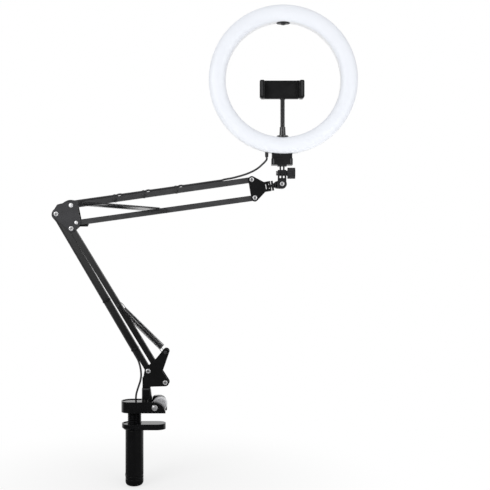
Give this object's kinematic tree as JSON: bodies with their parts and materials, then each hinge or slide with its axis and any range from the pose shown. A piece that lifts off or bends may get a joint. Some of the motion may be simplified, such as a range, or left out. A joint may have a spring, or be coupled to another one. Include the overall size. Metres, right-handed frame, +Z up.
{
  "type": "ring light",
  "caption": "Ring light with a phone holder inside the ring, on a sprung two-section scissor arm that swivels in a table clamp with a screw handle.",
  "frame": {"origin": "Under the upper jaw of the clamp, on the face that rests on the table top, below the base bracket.", "axes": "X runs right along the upper arm, Y runs away from the viewer of the picture, through the ring from front to back, Z is up."},
  "size_m": [0.5388, 0.0891, 0.845],
  "materials": {
    "cast_black": "satin black paint",
    "handle_black": "satin",
    "post_steel": "dark plated",
    "bright_steel": "bright plated",
    "ribbed_steel": "ribbed, satin",
    "bar_black": "black anodised",
    "plate_black": "black powder coat",
    "spring_steel": "drawn wire",
    "knuckle_plastic": "fine grain",
    "shell_white": "moulded white",
    "diffuser_white": "milky",
    "board_white": "white solder mask",
    "gooseneck_rubber": "ribbed",
    "cord_rubber": "smooth jacket",
    "tie_nylon": "nylon"
  },
  "bodies": {
    "clamp": {"clamp_casting": "cast_black", "clamp_post": "post_steel", "cam_bolt": "bright_steel", "swivel_washer": "bright_steel", "cord_hank": "cord_rubber", "hank_tie": "tie_nylon", "usb_grip": "knuckle_plastic", "usb_shell": "bright_steel"},
    "lower_clamp_jaw": {"lower_jaw": "cast_black"},
    "handle": {"clamp_handle": "handle_black"},
    "cam": {"lock_cam": "ribbed_steel"},
    "base": {"swivel_pin": "post_steel", "base_bracket": "cast_black", "base_bolts": "bright_steel", "base_spring_pin": "post_steel", "cord_drop": "cord_rubber"},
    "lower_left": {"lower_bar_left": "bar_black", "cord_lower": "cord_rubber", "lower_ties": "tie_nylon"},
    "lower_right": {"lower_bar_right": "bar_black", "lower_spring_post": "post_steel"},
    "lower_springs": {"lower_spring_front": "spring_steel", "lower_spring_rear": "spring_steel"},
    "elbow": {"elbow_plate_front": "plate_black", "elbow_plate_rear": "plate_black", "elbow_bolts": "bright_steel", "elbow_stop": "plate_black", "elbow_spring_studs": "post_steel", "cord_elbow": "cord_rubber"},
    "upper_top": {"upper_bar_top": "bar_black", "cord_upper": "cord_rubber", "upper_ties": "tie_nylon"},
    "upper_bottom": {"upper_bar_bottom": "bar_black", "upper_spring_post": "post_steel"},
    "upper_springs": {"upper_spring_front": "spring_steel", "upper_spring_rear": "spring_steel"},
    "fork": {"fork_plate_front": "plate_black", "fork_plate_rear": "plate_black", "fork_nose": "plate_black", "fork_bolts": "bright_steel", "head_stud": "bright_steel", "cord_head": "cord_rubber"},
    "disc": {"lock_disc": "knuckle_plastic"},
    "adapter": {"stud_adapter": "knuckle_plastic", "knuckle_bolt": "bright_steel"},
    "link": {"knuckle_link": "knuckle_plastic", "knob_screw": "bright_steel"},
    "knob": {"thumb_knob": "knuckle_plastic"},
    "ring": {"ring_foot": "knuckle_plastic", "foot_box": "knuckle_plastic", "ring_shell": "shell_white", "ring_diffuser": "diffuser_white", "led_board": "board_white", "ring_gland": "knuckle_plastic", "top_socket": "knuckle_plastic", "stem_ferrule": "knuckle_plastic", "gooseneck": "gooseneck_rubber"},
    "phone": {"phone_back": "knuckle_plastic"},
    "phone_slider": {"phone_jaw": "knuckle_plastic"}
  },
  "joints": [
    {"name": "base_swivel", "type": "hinge", "parent": "clamp", "child": "base", "pos_m": [-0.0012, 0, 0.041], "axis": [0, 0, 1], "range_deg": [-90, 90], "deforming": ["cord_drop"]},
    {"name": "handle_spin", "type": "hinge", "parent": "lower_clamp_jaw", "child": "handle", "pos_m": [-0.022, 0, -0.08], "axis": [0, 0, 1], "range_deg": [-3250, 1085]},
    {"name": "jaw_slide", "type": "slide", "parent": "clamp", "child": "lower_clamp_jaw", "axis": [0, 0, 1], "range_m": [-0.027, 0.009]},
    {"name": "cam_turn", "type": "hinge", "parent": "clamp", "child": "cam", "pos_m": [0.0155, 0, 0.0096], "axis": [0, 1, 0], "range_deg": [-14, 0]},
    {"name": "lower_tilt", "type": "hinge", "parent": "base", "child": "lower_left", "pos_m": [0.0029, 0, 0.0723], "axis": [0, 1, 0], "range_deg": [0, 24], "deforming": ["lower_spring_front", "lower_spring_rear"]},
    {"name": "lower_right_swing", "type": "hinge", "parent": "base", "child": "lower_right", "pos_m": [0.03273, 0, 0.05188], "axis": [0, 1, 0], "range_deg": [-0.5, 25.2]},
    {"name": "lower_spring_swing", "type": "hinge", "parent": "base", "child": "lower_springs", "pos_m": [0.03363, 0, 0.10598], "axis": [0, 1, 0], "range_deg": [-0.5, 35.4]},
    {"name": "elbow_level", "type": "hinge", "parent": "lower_left", "child": "elbow", "pos_m": [-0.15847, 0, 0.34736], "axis": [0, 1, 0], "range_deg": [-30, 0.5], "deforming": ["cord_elbow"]},
    {"name": "upper_tilt", "type": "hinge", "parent": "elbow", "child": "upper_top", "pos_m": [-0.13217, 0, 0.36246], "axis": [0, 1, 0], "range_deg": [-45, 0], "deforming": ["upper_spring_front", "upper_spring_rear"]},
    {"name": "upper_bottom_swing", "type": "hinge", "parent": "elbow", "child": "upper_bottom", "pos_m": [-0.12306, 0, 0.33209], "axis": [0, 1, 0], "range_deg": [-46.4, 0.5]},
    {"name": "upper_spring_swing", "type": "hinge", "parent": "elbow", "child": "upper_springs", "pos_m": [-0.11957, 0, 0.36646], "axis": [0, 1, 0], "range_deg": [-50, 0.5]},
    {"name": "fork_level", "type": "hinge", "parent": "upper_top", "child": "fork", "pos_m": [0.18443, 0, 0.40752], "axis": [0, 1, 0], "range_deg": [-0.5, 46.6], "deforming": ["cord_head"]},
    {"name": "disc_spin", "type": "hinge", "parent": "fork", "child": "disc", "pos_m": [0.23763, 0, 0.4], "axis": [0.9866, 0, 0.1633], "continuous": true},
    {"name": "stud_roll", "type": "hinge", "parent": "fork", "child": "adapter", "pos_m": [0.23763, 0, 0.4], "axis": [0.9866, 0, 0.1633], "range_deg": [-90, 90]},
    {"name": "knuckle_tilt", "type": "hinge", "parent": "adapter", "child": "link", "pos_m": [0.23763, 0, 0.4], "axis": [0, 1, 0], "range_deg": [-15, 45]},
    {"name": "knob_spin", "type": "hinge", "parent": "link", "child": "knob", "pos_m": [0.23763, 0, 0.4192], "axis": [1, 0, 0], "continuous": true},
    {"name": "ring_tilt", "type": "hinge", "parent": "link", "child": "ring", "pos_m": [0.23763, 0, 0.4192], "axis": [1, 0, 0], "range_deg": [-60, 60]},
    {"name": "phone_turn", "type": "hinge", "parent": "ring", "child": "phone", "pos_m": [0.23863, 0.001, 0.5485], "axis": [0, 0, 1], "range_deg": [-90, 90]},
    {"name": "phone_jaw_slide", "type": "slide", "parent": "phone", "child": "phone_slider", "axis": [1, 0, 0], "range_m": [0, 0.025], "stiffness_N_per_m": 120, "springref_m": -0.02}
  ],
  "couplings": [
    {"joint": "handle_spin", "follows": "jaw_slide", "rad_per_m": 2094.4},
    {"joint": "lower_right_swing", "follows": "lower_tilt", "ratio": 1.0313},
    {"joint": "lower_spring_swing", "follows": "lower_tilt", "ratio": 1.4472},
    {"joint": "elbow_level", "follows": "lower_tilt", "ratio": -1.2198},
    {"joint": "upper_bottom_swing", "follows": "upper_tilt", "ratio": 1.0133},
    {"joint": "upper_spring_swing", "follows": "upper_tilt", "ratio": 1.0952},
    {"joint": "fork_level", "follows": "upper_tilt", "ratio": -1.0173}
  ]
}
